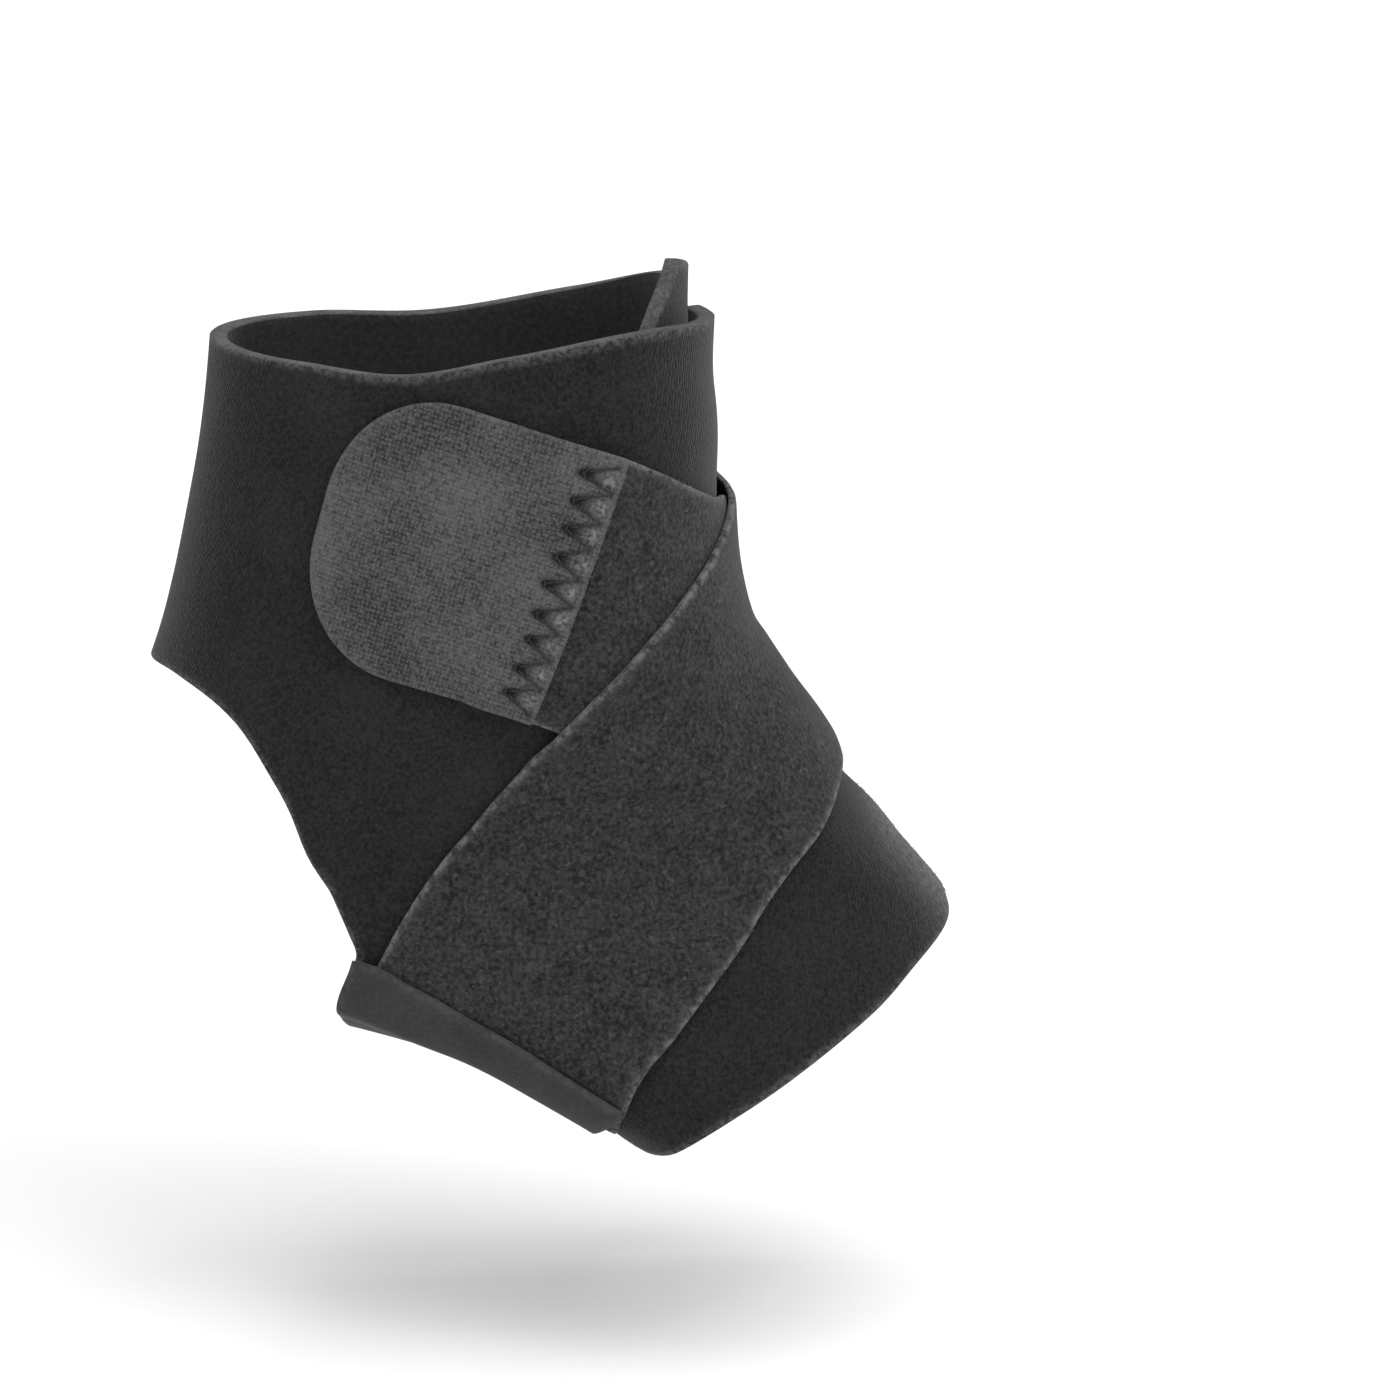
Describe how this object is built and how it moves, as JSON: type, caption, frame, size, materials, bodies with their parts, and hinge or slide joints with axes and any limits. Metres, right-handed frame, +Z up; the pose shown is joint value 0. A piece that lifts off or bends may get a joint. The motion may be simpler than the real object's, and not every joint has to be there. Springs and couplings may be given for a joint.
{
  "type": "ankle brace",
  "caption": "Black wrap-round neoprene ankle brace in its worn form, with an open heel, crossed elastic straps and rounded hook tabs.",
  "frame": {"origin": "centre of the ankle joint of the right foot that the brace is worn on, inside its hollow", "axes": "+Z up the leg, +X towards the toes, -Y the outer side of the ankle, with the heel raised as worn on tiptoe"},
  "size_m": [0.1471, 0.0901, 0.1602],
  "materials": {
    "neoprene": "black nylon-faced neoprene, grey raw cut edges",
    "smooth_knit": "smooth dark grey knit",
    "loop_elastic": "black brushed loop elastic",
    "hook_tape": "dark grey woven back of hook tape"
  },
  "bodies": {
    "root": {"neoprene_wrap": "neoprene", "sole_panel": "smooth_knit", "medial_strap": "loop_elastic", "lateral_strap": "loop_elastic", "lateral_hook_tab": "hook_tape", "medial_hook_tab": "hook_tape"}
  },
  "joints": []
}
